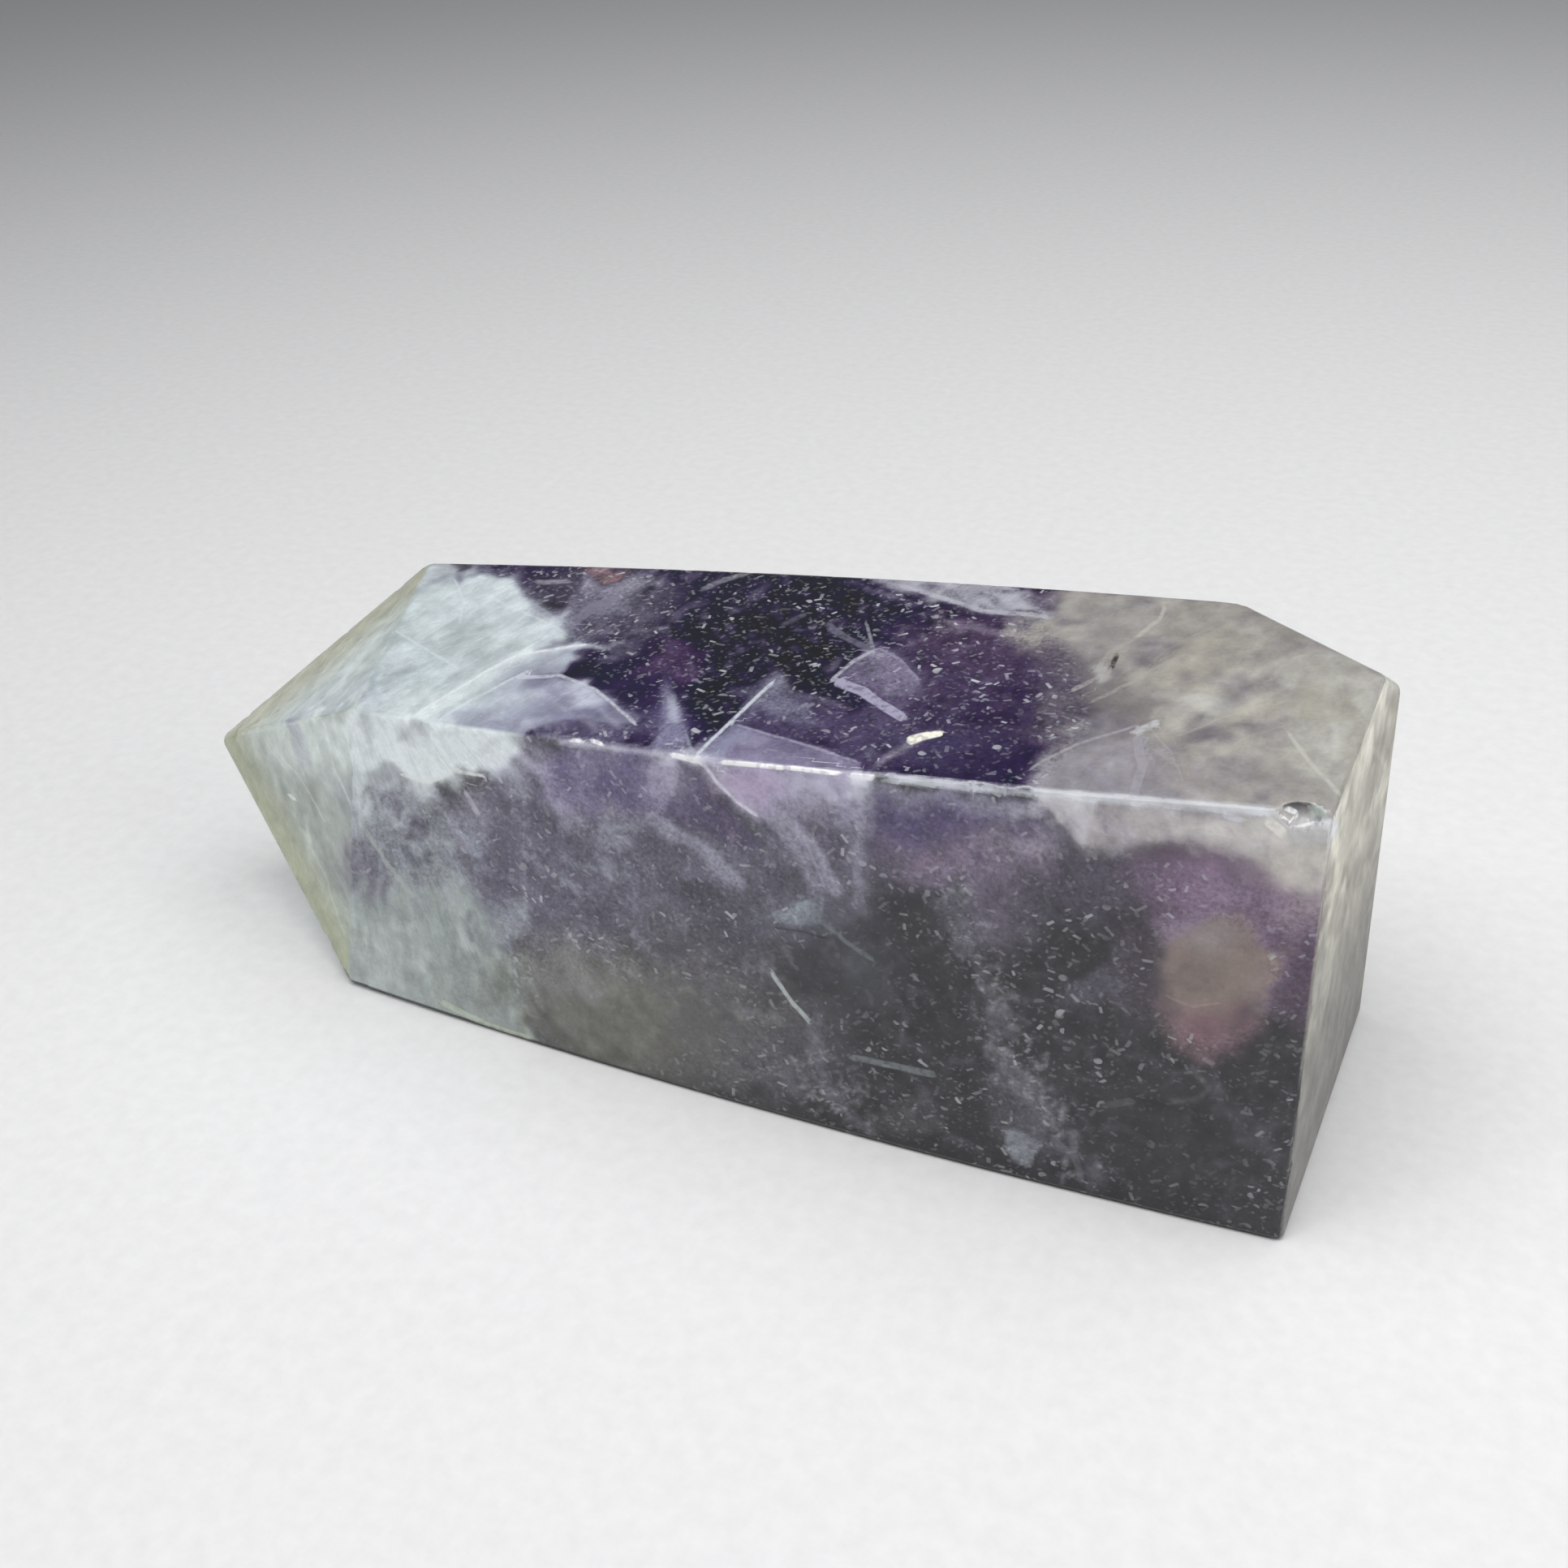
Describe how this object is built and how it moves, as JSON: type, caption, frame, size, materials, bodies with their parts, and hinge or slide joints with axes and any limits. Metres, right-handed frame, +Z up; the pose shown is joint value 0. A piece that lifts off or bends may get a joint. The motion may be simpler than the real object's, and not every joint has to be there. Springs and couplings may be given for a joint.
{
  "type": "unicorn stone point",
  "caption": "Polished four-sided stone point with a faceted tip and a flat sawn base, lying on its long flat side, in purple, white and dark mottled stone.",
  "frame": {"origin": "middle of the stone's bounding box, at the height of the surface it lies on", "axes": "+Z up, +X along the stone from its tip to its sawn base, -Y out of its broad front side"},
  "size_m": [0.0952, 0.028, 0.0351],
  "materials": {
    "unicorn_stone": "polished, with a matt sawn base"
  },
  "bodies": {
    "root": {"stone_point": "unicorn_stone"}
  },
  "joints": []
}
